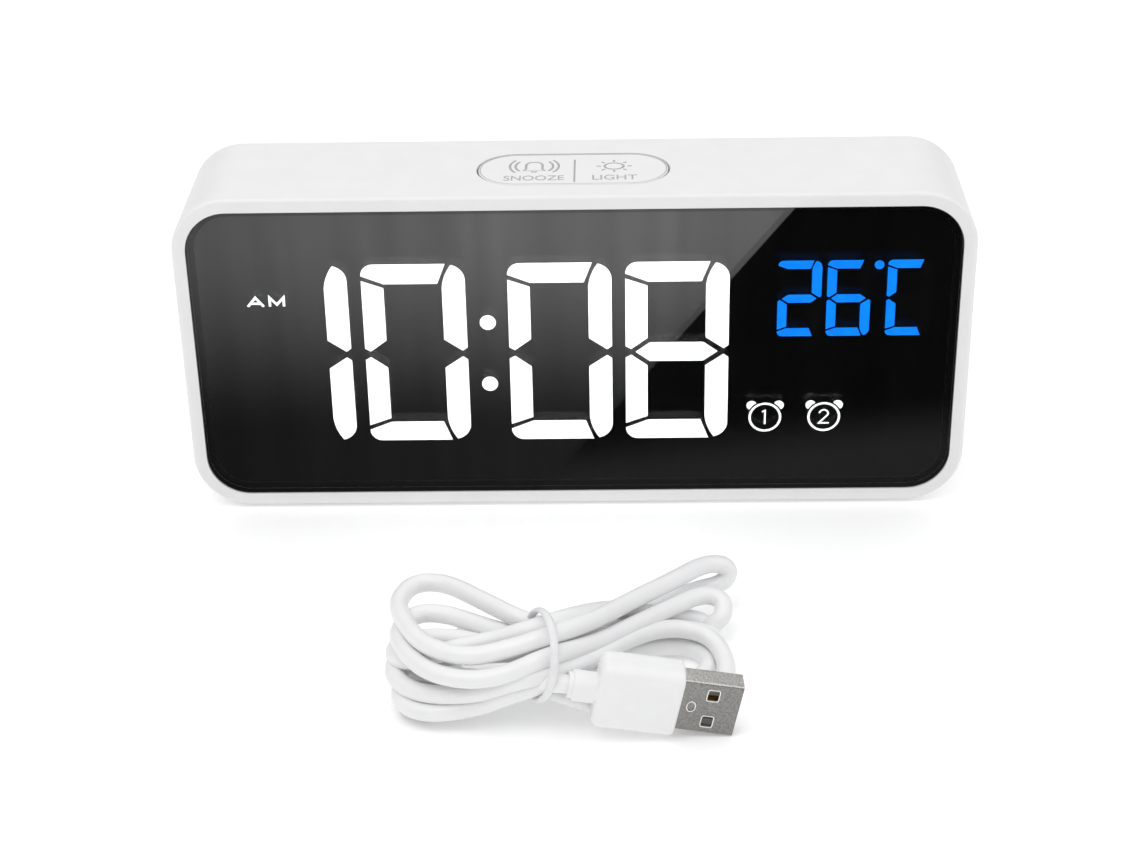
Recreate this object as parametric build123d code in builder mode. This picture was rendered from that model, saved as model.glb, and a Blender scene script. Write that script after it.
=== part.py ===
from build123d import *
import math
import os

# A digital alarm clock behind a smoked half mirror, and its loose USB lead.
# Millimetres. The origin is under the middle of the clock, on the surface it
# stands on. +X is to the reader's right, -Y points out of the display, +Z is up.

# ---------------------------------------------------------------- case
WIDTH, DEPTH, HEIGHT = 175.0, 34.0, 76.0
FOOT_RISE = 0.8
CASE_R = 12.5
WALL = 2.2
RIM = 3.0  # white border around the mirror
MIRROR_R = CASE_R - RIM
MIRROR_SINK = 0.25  # the mirror's face behind the rim's
MIRROR_T = 2.0
TAPE_T = 0.15
LEDGE_W, LEDGE_T = 1.7, 1.5
COVER_SINK, COVER_T = 1.0, 2.0

FRONT, BACK = -DEPTH / 2, DEPTH / 2
MID_Z = FOOT_RISE + HEIGHT / 2
TOP_Z = FOOT_RISE + HEIGHT
OPENING_W, OPENING_H = WIDTH - 2 * RIM, HEIGHT - 2 * RIM
CAVITY_W, CAVITY_H = WIDTH - 2 * WALL, HEIGHT - 2 * WALL
CAVITY_R = CASE_R - WALL
MIRROR_FRONT = FRONT + MIRROR_SINK
MIRROR_BACK = MIRROR_FRONT + MIRROR_T
LEDGE_FRONT = MIRROR_BACK + TAPE_T
LEDGE_BACK = LEDGE_FRONT + LEDGE_T
COVER_OUT = BACK - COVER_SINK
COVER_IN = COVER_OUT - COVER_T

# ---------------------------------------------------------------- display
FILM_T = 0.25
FILM_FRONT = MIRROR_BACK + 0.05
FILM_BACK = FILM_FRONT + FILM_T
LIGHT_BOX_W, LIGHT_BOX_H, LIGHT_BOX_T = 160.0, 54.0, 6.0
LIGHT_BOX_BACK = FILM_BACK + LIGHT_BOX_T
DIFFUSER_T = 2.4
BOARD_T = 1.6
BOARD_W, BOARD_H = 166.0, 66.0
BOARD_BACK = LIGHT_BOX_BACK + BOARD_T

DIGIT_W, DIGIT_H = 22.9, 44.0
DIGIT_FOOT = -22.5  # lower edge of the digits from the middle of the mirror
DIGIT_X = {"hour_tens": -72.9, "hour_units": -46.9, "minute_tens": -14.7, "minute_units": 11.2}
COLON_X, COLON_RISES, COLON_R = -19.3, (7.1, -8.2), 1.8
SMALL = 18.4 / DIGIT_H  # size of the temperature digits against the time digits
SMALL_FOOT = 3.0
SMALL_X = {"tens": 44.7, "units": 55.5, "scale": 68.6}
DEGREE_AT, DEGREE_R = (66.7, 20.2), 1.05
ALARM_X, ALARM_RISE = (42.6, 55.9), -17.4
ALARM_R, ALARM_LINE = 3.45, 0.5
AM_X, AM_RISE, AM_H, AM_LINE = -72.2, 11.3, 2.7, 0.55

# ---------------------------------------------------------------- top button
BUTTON_Y = -1.4
BUTTON_HOLE = (42.7, 18.0)
BUTTON_GAP = 0.45
BUTTON_TRAVEL = 0.6
FLANGE_GAP, FLANGE_T = 0.2, 1.2
TOP_BOARD_W, TOP_BOARD_D = 60.0, 10.0
TOP_BOARD_Z = TOP_Z - 12.5
TOP_SWITCH_X = 9.0
TOP_POST_X = 27.0

# ---------------------------------------------------------------- rear
REAR_BOARD_BACK = 8.0
REAR_BOARD_FRONT = REAR_BOARD_BACK - BOARD_T
REAR_BOARD_W, REAR_BOARD_H, REAR_BOARD_RISE = 98.0, 30.0, 16.0
REAR_BUTTONS = {"set_button": -36.0, "down_button": -22.0, "up_button": -8.0, "alarm_button": 6.0}
REAR_BUTTON_RISE = 23.0
REAR_BUTTON = (9.0, 5.0)
REAR_BUTTON_GAP = 0.3
SWITCH_SIDE, SWITCH_T, SWITCH_BORE = 6.0, 3.6, 1.75
PLUNGER_R = 1.6
BUZZER_AT, BUZZER_R, BUZZER_T = (30.0, 20.0), 6.0, 5.2
INLET_AT, INLET_W, INLET_H = (-34.0, 8.0), 7.5, 2.6
THERMISTOR_AT = (44.0, 4.0)
SCREW_X, SCREW_RISE = 79.5, 30.0
BOSS_R, BOSS_BACK, BOSS_LONG = 3.4, 12.0, 15.0
POST_X, POST_RISE = 72.0, 30.8
REAR_POST_X = 44.0

# backup cell
CELL_AT = (-50.0, -16.0)
CELL_R, CELL_T = 10.0, 3.2
DOOR_SIDE, DOOR_T = 26.0, 1.6
DOOR_GAP = 0.2
DOOR_OUT = COVER_OUT - 0.1
DOOR_IN = DOOR_OUT - DOOR_T
DOOR_AXIS_Y = (DOOR_OUT + DOOR_IN) / 2
DOOR_AXIS_RISE = CELL_AT[1] - DOOR_SIDE / 2 + DOOR_T / 2
PIN_R, PIN_LONG = 0.55, 1.0
WELL_FRONT = 8.3

# ---------------------------------------------------------------- USB lead
CORD_R = 1.9
HANK_SECTIONS = [  # x, then y and z of the middle, then width along Y and height
    (-38.2, -89.5, 9.5, 14, 14), (-33, -90.5, 9.8, 26, 19.4), (-20, -92.5, 10, 25, 19.8),
    (-6.6, -99.2, 15, 15.4, 15.4), (5, -93, 12.3, 15.6, 18), (18, -83, 9.6, 24, 18.8),
    (28, -76, 8, 32, 15.6), (34, -74.5, 7, 22, 9),
]
TIE_AT, TIE_RING_R, TIE_R = (-6.6, -99.2, 15.0), 8.75, 0.85
TIE_TURN, TIE_DIP = 18.4, 12.2  # degrees that the ring is turned about Z, and leans over
LEAD_END = (-5.2, -104.6, 12.8)
PLUG_EXIT = (-1.02, -105.75, 12.65)
PLUG_TURN, PLUG_DIP, PLUG_ROLL = 3.0, 11.1, 3.2  # degrees from +X, nose down, about its own axis
NECK_R, NECK_LONG = 3.1, 5.5
GRIP_LONG, GRIP_WIDE, GRIP_THICK = 16.5, 15.0, 8.0
SHELL_LONG, SHELL_WIDE, SHELL_THICK, SHELL_WALL = 11.7, 12.0, 4.5, 0.3
FAR_TIP = (-31.4, -99.4, 1.1)  # middle of the small connector's mouth
FAR_HEADING, FAR_DIP = 250.0, 12.0  # degrees from +X, and down towards its mouth
FAR_GRIP = (9.0, 8.4, 4.6)
FAR_SHELL = (5.5, 6.85, 1.8)
FAR_NECK_R, FAR_NECK_LONG = 2.3, 2.4


def facing(y):
    """A plane across the clock at depth y, centred on the mirror and facing the reader."""
    return Plane(origin=(0, y, MID_Z), x_dir=(1, 0, 0), z_dir=(0, -1, 0))


def save(piece, name):
    piece.label = name
    export_step(piece, f"parts/{name}.step")


def bar(kind, size):
    """One bar of a seven-bar digit. Bars d, e and c are a, f and b turned upside down."""
    upside_down = kind in "dec"

    def at(x, y):
        return (x * size, (DIGIT_H - y if upside_down else y) * size)

    top, right = DIGIT_H, DIGIT_W
    with BuildSketch() as sketch:
        with BuildLine():
            if kind in "ad":
                ThreePointArc(at(0, top - 2.8), at(0.8, top - 0.8), at(2.8, top))
                Polyline(at(2.8, top), at(18.65, top), at(16.8, top - 4.8), at(5, top - 4.8),
                         at(0, top - 2.8))
            elif kind in "fe":
                Polyline(at(0, top - 3.95), at(4.9, top - 5.7), at(4.9, top - 18.6),
                         at(1.25, top - 21.3), at(0, top - 20.6), close=True)
            elif kind in "bc":
                ThreePointArc(at(19.85, top - 0.3), at(21.95, top - 1.5), at(right, top - 3.8))
                Polyline(at(right, top - 3.8), at(right, top - 20.5), at(21.8, top - 21.3),
                         at(17.75, top - 18.5), at(17.75, top - 5.7))
                ThreePointArc(at(17.75, top - 5.7), at(18.35, top - 3.1), at(19.85, top - 0.3))
            else:
                middle, half = top / 2, 2.35
                Polyline(at(2.2, middle), at(5.4, middle + half), at(17.25, middle + half),
                         at(20.5, middle), at(17.25, middle - half), at(5.4, middle - half),
                         close=True)
        make_face()
    return sketch.sketch


def bars(kinds, x, foot, size):
    """The given bars of one digit whose lower left corner is at x and foot."""
    return [bar(kind, size).moved(Location((x, foot))) for kind in kinds]


def letters_am():
    """The letters A and M as strokes of one width."""
    high, half = AM_H, AM_LINE / 2
    with BuildSketch() as sketch:
        with BuildLine(mode=Mode.PRIVATE) as a_legs:
            Polyline((0, half), (1.75, high - half), (3.5, half))
        with BuildLine(mode=Mode.PRIVATE) as a_bridge:
            Line((0.75, 1.0), (2.75, 1.0))
        with BuildLine(mode=Mode.PRIVATE) as m_legs:
            Polyline((4.9, half), (4.9, high - half), (6.45, 0.75), (8.0, high - half), (8.0, half))
        for stroke in (a_legs, a_bridge, m_legs):
            trace(stroke.line, AM_LINE)
    return sketch.sketch.moved(Location((AM_X, AM_RISE)))


def alarm_mark(number, x):
    """A small bell clock: a ring with two ears and a number."""
    with BuildSketch() as sketch:
        with Locations((-3.05, 3.05), (3.05, 3.05)):
            Circle(1.15)
        Circle(ALARM_R + 0.65, mode=Mode.SUBTRACT)
        Circle(ALARM_R + ALARM_LINE / 2)
        Circle(ALARM_R - ALARM_LINE / 2, mode=Mode.SUBTRACT)
        with BuildLine(mode=Mode.PRIVATE) as stroke:
            if number == 1:
                Polyline((-0.65, 1.35), (0, 1.7), (0, -1.8))
            else:
                ThreePointArc((-1.0, 0.9), (0.2, 1.75), (0.95, 0.6))
                Polyline((0.95, 0.6), (-1.05, -1.6), (1.2, -1.6))
        trace(stroke.line, 0.38)
    return sketch.sketch.moved(Location((x, ALARM_RISE)))


def dot(at, radius):
    with BuildSketch() as sketch:
        Circle(radius)
    return sketch.sketch.moved(Location(at))


def windows():
    """Every outline that can light up, by the name of its node."""
    tens, units = DIGIT_X["hour_tens"], DIGIT_X["hour_units"]
    return {
        "hour_tens_bars": bars("bc", tens, DIGIT_FOOT, 1),
        "hour_units_bars": bars("abcdef", units, DIGIT_FOOT, 1),
        "colon_dots": [dot((COLON_X, rise), COLON_R) for rise in COLON_RISES],
        "minute_tens_bars": bars("abcdef", DIGIT_X["minute_tens"], DIGIT_FOOT, 1),
        "minute_units_bars": bars("abcdefg", DIGIT_X["minute_units"], DIGIT_FOOT, 1),
        "temperature_bars": bars("abged", SMALL_X["tens"], SMALL_FOOT, SMALL)
        + bars("afgecd", SMALL_X["units"], SMALL_FOOT, SMALL)
        + bars("afed", SMALL_X["scale"], SMALL_FOOT, SMALL) + [dot(DEGREE_AT, DEGREE_R)],
        "am_marks": [letters_am()],
        "alarm_marks": [alarm_mark(n + 1, x) for n, x in enumerate(ALARM_X)],
        "unlit_bars": bars("g", units, DIGIT_FOOT, 1)
        + bars("g", DIGIT_X["minute_tens"], DIGIT_FOOT, 1)
        + bars("fc", SMALL_X["tens"], SMALL_FOOT, SMALL)
        + bars("b", SMALL_X["units"], SMALL_FOOT, SMALL)
        + bars("bcg", SMALL_X["scale"], SMALL_FOOT, SMALL),
    }


def chambers(lit):
    """The light box's openings: the lit outlines, but plain shapes around the small marks."""
    plain = {node: group for node, group in lit.items() if node not in ("am_marks", "alarm_marks")}
    plain["alarm_marks"] = [dot((x, ALARM_RISE), ALARM_R + 2.1) for x in ALARM_X]
    with BuildSketch() as sketch:
        RectangleRounded(9.6, 4.4, 0.8)
    plain["am_marks"] = [sketch.sketch.moved(Location((AM_X + 4.0, AM_RISE + AM_H / 2)))]
    return plain


os.makedirs("parts", exist_ok=True)
outlines = windows()

# ---------------------------------------------------------------- housing
with BuildPart() as housing:
    with BuildSketch(facing(BACK)):
        RectangleRounded(WIDTH, HEIGHT, CASE_R)
    extrude(amount=DEPTH)
    fillet(housing.faces().sort_by(Axis.Y)[0].edges(), 0.7)
    fillet(housing.faces().sort_by(Axis.Y)[-1].edges(), 1.4)
    with BuildSketch(facing(FRONT)):
        RectangleRounded(OPENING_W, OPENING_H, MIRROR_R)
    extrude(amount=-(LEDGE_FRONT - FRONT), mode=Mode.SUBTRACT)
    with BuildSketch(facing(LEDGE_FRONT)):
        RectangleRounded(OPENING_W - 2 * LEDGE_W, OPENING_H - 2 * LEDGE_W, MIRROR_R - LEDGE_W)
    extrude(amount=-LEDGE_T, mode=Mode.SUBTRACT)
    with BuildSketch(facing(LEDGE_BACK)):
        RectangleRounded(CAVITY_W, CAVITY_H, CAVITY_R)
    extrude(amount=-(BACK - LEDGE_BACK), mode=Mode.SUBTRACT)
    # opening for the top button, and the two posts of its switch board
    with BuildSketch(Plane((0, BUTTON_Y, TOP_Z))):
        SlotOverall(*BUTTON_HOLE)
    extrude(amount=-WALL - 0.5, mode=Mode.SUBTRACT)
    with BuildSketch(Plane((0, BUTTON_Y, TOP_BOARD_Z + BOARD_T))):
        with Locations((-TOP_POST_X, 0), (TOP_POST_X, 0)):
            Circle(2.5)
    extrude(amount=TOP_Z - WALL / 2 - TOP_BOARD_Z - BOARD_T)
    with BuildSketch(Plane((0, BUTTON_Y, TOP_BOARD_Z + BOARD_T))):
        with Locations((-TOP_POST_X, 0), (TOP_POST_X, 0)):
            Circle(0.9)
    extrude(amount=5, mode=Mode.SUBTRACT)
    # corner bosses for the cover's screws, webbed to the side walls
    with BuildSketch(facing(BOSS_BACK)):
        with GridLocations(2 * SCREW_X, 2 * SCREW_RISE, 2, 2):
            Circle(BOSS_R)
        with GridLocations(2 * SCREW_X + 6, 2 * SCREW_RISE, 2, 2):
            Rectangle(6, 2)
    extrude(amount=BOSS_LONG)
    with BuildSketch(facing(BOSS_BACK)):
        with GridLocations(2 * SCREW_X, 2 * SCREW_RISE, 2, 2):
            Circle(1.45)
    extrude(amount=BOSS_LONG - 2, mode=Mode.SUBTRACT)
    # posts in front of the display board
    with BuildSketch(facing(LIGHT_BOX_BACK)):
        with GridLocations(2 * POST_X, 2 * POST_RISE, 2, 2):
            Circle(3)
        with GridLocations(2 * POST_X, 2 * POST_RISE + 5, 2, 2):
            Rectangle(2, 6)
    extrude(amount=LIGHT_BOX_BACK - LEDGE_BACK)
    with BuildSketch(facing(LIGHT_BOX_BACK)):
        with GridLocations(2 * POST_X, 2 * POST_RISE, 2, 2):
            Circle(0.9)
    extrude(amount=4, mode=Mode.SUBTRACT)
    # slots under the case for the feet
    with BuildSketch(Plane((0, 0, FOOT_RISE))):
        with GridLocations(2 * 60.6, 20, 2, 2):
            SlotOverall(9.6, 1.7, rotation=90)
    extrude(amount=0.6, mode=Mode.SUBTRACT)
save(housing.part, "housing")

with BuildPart() as feet:
    with BuildSketch(Plane.XY):
        with GridLocations(2 * 60.6, 20, 2, 2):
            SlotOverall(9.5, 1.6, rotation=90)
    extrude(amount=FOOT_RISE + 0.6)
    fillet(feet.faces().filter_by(Axis.Z).group_by(Axis.Z)[0].edges(), 0.3)
save(feet.part, "feet")

# ---------------------------------------------------------------- mirror and display stack
with BuildPart() as mirror_panel:
    with BuildSketch(facing(MIRROR_BACK)):
        RectangleRounded(OPENING_W - 0.2, OPENING_H - 0.2, MIRROR_R - 0.1)
    extrude(amount=MIRROR_T)
    chamfer(mirror_panel.faces().sort_by(Axis.Y)[0].edges(), 0.15)
save(mirror_panel.part, "mirror_panel")

with BuildPart() as panel_tape:
    with BuildSketch(facing(LEDGE_FRONT)):
        RectangleRounded(OPENING_W - 0.4, OPENING_H - 0.4, MIRROR_R - 0.2)
        RectangleRounded(OPENING_W - 2 * LEDGE_W, OPENING_H - 2 * LEDGE_W, MIRROR_R - LEDGE_W,
                         mode=Mode.SUBTRACT)
    extrude(amount=TAPE_T)
save(panel_tape.part, "panel_tape")

with BuildPart() as mask_film:
    with BuildSketch(facing(FILM_BACK)):
        RectangleRounded(OPENING_W - 2 * LEDGE_W - 0.3, OPENING_H - 2 * LEDGE_W - 0.3,
                         MIRROR_R - LEDGE_W - 0.15)
        for group in outlines.values():
            add(group, mode=Mode.SUBTRACT)
    extrude(amount=FILM_T)
save(mask_film.part, "mask_film")

with BuildPart() as light_box:
    with BuildSketch(facing(LIGHT_BOX_BACK)):
        RectangleRounded(LIGHT_BOX_W, LIGHT_BOX_H, 3)
        for group in chambers(outlines).values():
            add(group, mode=Mode.SUBTRACT)
    extrude(amount=LIGHT_BOX_T)
save(light_box.part, "light_box")

for node, group in outlines.items():
    with BuildPart() as lit:
        with BuildSketch(facing(FILM_FRONT)):
            add(group)
        extrude(amount=-DIFFUSER_T)
    save(lit.part, node)

# ---------------------------------------------------------------- display board
with BuildPart() as display_board:
    with BuildSketch(facing(BOARD_BACK)):
        RectangleRounded(BOARD_W, BOARD_H, 6)
        with GridLocations(2 * POST_X, 2 * POST_RISE, 2, 2):
            Circle(1.1, mode=Mode.SUBTRACT)
    extrude(amount=BOARD_T)
save(display_board.part, "display_board")

BAR_MIDDLES = {"a": (10.2, 41.6), "d": (10.2, 2.4), "f": (2.45, 32), "e": (2.45, 12),
               "b": (20.3, 32), "c": (20.3, 12), "g": (11.3, 22)}
time_spots = [(x + dx, DIGIT_FOOT + dy) for x in list(DIGIT_X.values())[1:]
              for dx, dy in BAR_MIDDLES.values()]
time_spots += [(DIGIT_X["hour_tens"] + dx, DIGIT_FOOT + dy)
               for dx, dy in (BAR_MIDDLES["b"], BAR_MIDDLES["c"])]
time_spots += [(COLON_X, rise) for rise in COLON_RISES]
small_spots = [(x + SMALL * dx, SMALL_FOOT + SMALL * dy) for x in SMALL_X.values()
               for dx, dy in BAR_MIDDLES.values()]

with BuildPart() as time_leds:
    with BuildSketch(facing(LIGHT_BOX_BACK)):
        with Locations(*time_spots):
            Rectangle(2.0, 1.6)
    extrude(amount=0.8)
save(time_leds.part, "time_leds")

with BuildPart() as temperature_leds:
    with BuildSketch(facing(LIGHT_BOX_BACK)):
        with Locations(*small_spots):
            Rectangle(0.9, 0.9)
    extrude(amount=0.5)
save(temperature_leds.part, "temperature_leds")


def chip(at, long, wide, thick, pins, pitch):
    """A flat chip on the back of the display board, with a row of pins on each long side."""
    with BuildPart() as body:
        with BuildSketch(Plane(facing(BOARD_BACK).from_local_coords(Vector(*at, -thick)),
                               x_dir=(1, 0, 0), z_dir=(0, -1, 0))):
            Rectangle(long, wide)
        extrude(amount=thick)
        chamfer(body.faces().sort_by(Axis.Y)[-1].edges(), 0.25)
        with BuildSketch(Plane(facing(BOARD_BACK).from_local_coords(Vector(*at, -0.5)),
                               x_dir=(1, 0, 0), z_dir=(0, -1, 0))):
            with GridLocations(pitch, wide + 1.2, pins, 2):
                Rectangle(0.4, 2.0)
        extrude(amount=0.5)
    return body.part


save(chip((-30, 2), 18, 7.6, 2.3, 14, 1.27), "clock_chip")
save(Compound(children=[chip((-66, 4), 10, 4, 1.6, 8, 1.27), chip((40, -6), 10, 4, 1.6, 8, 1.27)]),
     "driver_chips")

with BuildPart() as quartz_crystal:
    with BuildSketch(facing(BOARD_BACK)):
        with Locations((-8, -2)):
            SlotOverall(11, 4.6)
    extrude(amount=-3.5)
    fillet(quartz_crystal.faces().sort_by(Axis.Y)[-1].edges(), 0.5)
save(quartz_crystal.part, "quartz_crystal")

with BuildPart() as capacitors:
    with BuildSketch(facing(BOARD_BACK)):
        with Locations((58, 4), (66, 4)):
            Circle(2.5)
    extrude(amount=-6.5)
    fillet(capacitors.faces().filter_by(Axis.Y).group_by(Axis.Y)[-1].edges(), 0.4)
save(capacitors.part, "capacitors")


def screws(places, plane_at, head_r, head_t, shank_r, shank_long):
    """Cross-recess screws driven along each plane's -Z, their heads standing on it."""
    with BuildPart() as group:
        for place in places:
            with BuildSketch(plane_at(place)):
                Circle(head_r)
            extrude(amount=head_t)
            with BuildSketch(plane_at(place)):
                Circle(shank_r)
            extrude(amount=-shank_long)
        for place in places:
            with BuildSketch(plane_at(place).offset(head_t)):
                Rectangle(head_r * 1.2, head_r * 0.26)
                Rectangle(head_r * 0.26, head_r * 1.2)
            extrude(amount=-head_t * 0.6, mode=Mode.SUBTRACT)
    return group.part


def rearward(y):
    """Makes screw planes at depth y whose +Z points out of the clock's back."""
    return lambda place: Plane((place[0], y, MID_Z + place[1]), x_dir=(-1, 0, 0), z_dir=(0, 1, 0))


def four(x, rise):
    return [(sx * x, sz * rise) for sx in (-1, 1) for sz in (-1, 1)]


save(screws(four(POST_X, POST_RISE), rearward(BOARD_BACK), 1.9, 1.2, 0.85, 5.2), "board_screws")

# ---------------------------------------------------------------- top button and its board
hole_w, hole_h = BUTTON_HOLE
flange_top = TOP_Z - WALL - FLANGE_GAP
top_switch_top = TOP_BOARD_Z + BOARD_T + SWITCH_T
with BuildPart() as snooze_light_button:
    with BuildSketch(Plane((0, BUTTON_Y, flange_top))):
        SlotOverall(hole_w - 2 * BUTTON_GAP, hole_h - 2 * BUTTON_GAP)
    extrude(amount=TOP_Z - flange_top)
    fillet(snooze_light_button.faces().sort_by(Axis.Z)[-1].edges(), 0.25)
    with BuildSketch(Plane((0, BUTTON_Y, flange_top))):
        SlotOverall(hole_w + 2.8, hole_h + 2.8)
    extrude(amount=-FLANGE_T)
    with BuildSketch(Plane((0, BUTTON_Y, flange_top - FLANGE_T))):
        with Locations((-TOP_SWITCH_X, 0), (TOP_SWITCH_X, 0)):
            Circle(PLUNGER_R)
    extrude(amount=-(flange_top - FLANGE_T - top_switch_top) - 2.2)
save(snooze_light_button.part, "snooze_light_button")

with BuildPart() as top_board:
    with BuildSketch(Plane((0, BUTTON_Y, TOP_BOARD_Z))):
        RectangleRounded(TOP_BOARD_W, TOP_BOARD_D, 1)
        with Locations((-TOP_POST_X, 0), (TOP_POST_X, 0)):
            Circle(1.1, mode=Mode.SUBTRACT)
    extrude(amount=BOARD_T)
save(top_board.part, "top_board")

with BuildPart() as top_switches:
    with BuildSketch(Plane((0, BUTTON_Y, TOP_BOARD_Z + BOARD_T))):
        with Locations((-TOP_SWITCH_X, 0), (TOP_SWITCH_X, 0)):
            RectangleRounded(SWITCH_SIDE, SWITCH_SIDE, 0.5)
    extrude(amount=SWITCH_T)
    with BuildSketch(Plane((0, BUTTON_Y, top_switch_top))):
        with Locations((-TOP_SWITCH_X, 0), (TOP_SWITCH_X, 0)):
            Circle(SWITCH_BORE)
    extrude(amount=-3.1, mode=Mode.SUBTRACT)
save(top_switches.part, "top_switches")

save(screws([(-TOP_POST_X, 0), (TOP_POST_X, 0)],
            lambda place: Plane((place[0], BUTTON_Y, TOP_BOARD_Z), x_dir=(1, 0, 0), z_dir=(0, 0, -1)),
            1.9, 1.2, 0.85, 5.5), "top_board_screws")

with BuildPart() as switch_wires:
    for x in (14, 16, 18):
        with BuildLine():
            FilletPolyline((x, -4.2, TOP_BOARD_Z), (x, -4.2, TOP_BOARD_Z - 7),
                           (x, BOARD_BACK, TOP_BOARD_Z - 7), radius=1.2)
        with BuildSketch(Plane((x, -4.2, TOP_BOARD_Z), z_dir=(0, 0, -1))):
            Circle(0.45)
        sweep()
save(switch_wires.part, "switch_wires")

# ---------------------------------------------------------------- rear board
rear_posts = [(-REAR_POST_X, REAR_BOARD_RISE + 10), (REAR_POST_X, REAR_BOARD_RISE + 10)]
with BuildPart() as rear_board:
    with BuildSketch(facing(REAR_BOARD_BACK)):
        with Locations((0, REAR_BOARD_RISE)):
            RectangleRounded(REAR_BOARD_W, REAR_BOARD_H, 1)
        with Locations(*rear_posts):
            Circle(1.1, mode=Mode.SUBTRACT)
    extrude(amount=BOARD_T)
save(rear_board.part, "rear_board")

save(screws(rear_posts,
            lambda place: Plane((place[0], REAR_BOARD_FRONT, MID_Z + place[1]), x_dir=(1, 0, 0),
                                z_dir=(0, -1, 0)),
            1.9, 1.2, 0.85, 6.0), "rear_board_screws")

button_spots = [(x, REAR_BUTTON_RISE) for x in REAR_BUTTONS.values()]
switch_back = REAR_BOARD_BACK + SWITCH_T
with BuildPart() as rear_switches:
    with BuildSketch(facing(REAR_BOARD_BACK)):
        with Locations(*button_spots):
            RectangleRounded(SWITCH_SIDE, SWITCH_SIDE, 0.5)
    extrude(amount=-SWITCH_T)
    with BuildSketch(facing(switch_back)):
        with Locations(*button_spots):
            Circle(SWITCH_BORE)
    extrude(amount=3.1, mode=Mode.SUBTRACT)
save(rear_switches.part, "rear_switches")

for node, x in REAR_BUTTONS.items():
    flange_back = COVER_IN - FLANGE_GAP
    with BuildPart() as button:
        with BuildSketch(facing(flange_back)):
            with Locations((x, REAR_BUTTON_RISE)):
                SlotOverall(*REAR_BUTTON)
        extrude(amount=-(BACK - flange_back))
        fillet(button.faces().sort_by(Axis.Y)[-1].edges(), 0.5)
        with BuildSketch(facing(flange_back)):
            with Locations((x, REAR_BUTTON_RISE)):
                SlotOverall(REAR_BUTTON[0] + 2.4, REAR_BUTTON[1] + 2.4)
        extrude(amount=1.0)
        with BuildSketch(facing(flange_back)):
            with Locations((x, REAR_BUTTON_RISE)):
                Circle(PLUNGER_R)
        extrude(amount=flange_back - switch_back + 2.2)
    save(button.part, node)

with BuildPart() as buzzer:
    with BuildSketch(facing(REAR_BOARD_BACK)):
        with Locations(BUZZER_AT):
            Circle(BUZZER_R)
    extrude(amount=-BUZZER_T)
    fillet(buzzer.faces().sort_by(Axis.Y)[-1].edges(), 0.4)
    with BuildSketch(facing(REAR_BOARD_BACK + BUZZER_T)):
        with Locations(BUZZER_AT):
            Circle(1.0)
    extrude(amount=1.5, mode=Mode.SUBTRACT)
save(buzzer.part, "buzzer")

inlet_mouth = COVER_OUT - 0.2
with BuildPart() as inlet_shell:
    with BuildSketch(facing(REAR_BOARD_BACK)):
        with Locations(INLET_AT):
            RectangleRounded(INLET_W, INLET_H, 0.7)
            RectangleRounded(INLET_W - 0.5, INLET_H - 0.5, 0.45, mode=Mode.SUBTRACT)
    extrude(amount=-(inlet_mouth - REAR_BOARD_BACK))
save(inlet_shell.part, "inlet_shell")

with BuildPart() as inlet_tongue:
    with BuildSketch(facing(REAR_BOARD_BACK)):
        with Locations(INLET_AT):
            RectangleRounded(INLET_W - 0.5, INLET_H - 0.5, 0.45)
    extrude(amount=-2.0)
    with BuildSketch(facing(REAR_BOARD_BACK + 2.0)):
        with Locations((INLET_AT[0], INLET_AT[1] + 0.2)):
            Rectangle(3.8, 0.6)
    extrude(amount=-4.6)
save(inlet_tongue.part, "inlet_tongue")

with BuildPart() as thermistor:
    with BuildSketch(facing(REAR_BOARD_BACK + 3)):
        with Locations(THERMISTOR_AT):
            Circle(1.4)
    extrude(amount=-2.4)
    fillet(thermistor.faces().filter_by(Axis.Y).edges(), 0.6)
    with BuildSketch(facing(REAR_BOARD_BACK)):
        with Locations((THERMISTOR_AT[0] - 0.7, THERMISTOR_AT[1]),
                       (THERMISTOR_AT[0] + 0.7, THERMISTOR_AT[1])):
            Circle(0.25)
    extrude(amount=-3.6)
save(thermistor.part, "thermistor")

# ribbon between the two boards, with a socket at each end
RIBBON_X, RIBBON_W = 20.0, 12.0
SOCKET = (14.0, 4.0, 3.0)
low_rise, high_rise = 6.0, 12.0
front_end, back_end = BOARD_BACK + SOCKET[2], REAR_BOARD_FRONT - SOCKET[2]
with BuildPart() as ribbon_sockets:
    for y, rise in ((front_end, low_rise), (REAR_BOARD_FRONT, high_rise)):
        with BuildSketch(facing(y)):
            with Locations((RIBBON_X, rise)):
                Rectangle(SOCKET[0], SOCKET[1])
        extrude(amount=SOCKET[2])
save(ribbon_sockets.part, "ribbon_sockets")

with BuildPart() as ribbon_cable:
    with BuildSketch(Plane((RIBBON_X - RIBBON_W / 2, 0, MID_Z), x_dir=(0, 1, 0), z_dir=(1, 0, 0))):
        middle = (front_end + back_end) / 2
        with BuildLine(mode=Mode.PRIVATE) as run:
            FilletPolyline((front_end, low_rise), (middle, low_rise), (middle, high_rise),
                           (back_end, high_rise), radius=1.2)
        trace(run.line, 0.7)
    extrude(amount=RIBBON_W)
save(ribbon_cable.part, "ribbon_cable")

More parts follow.
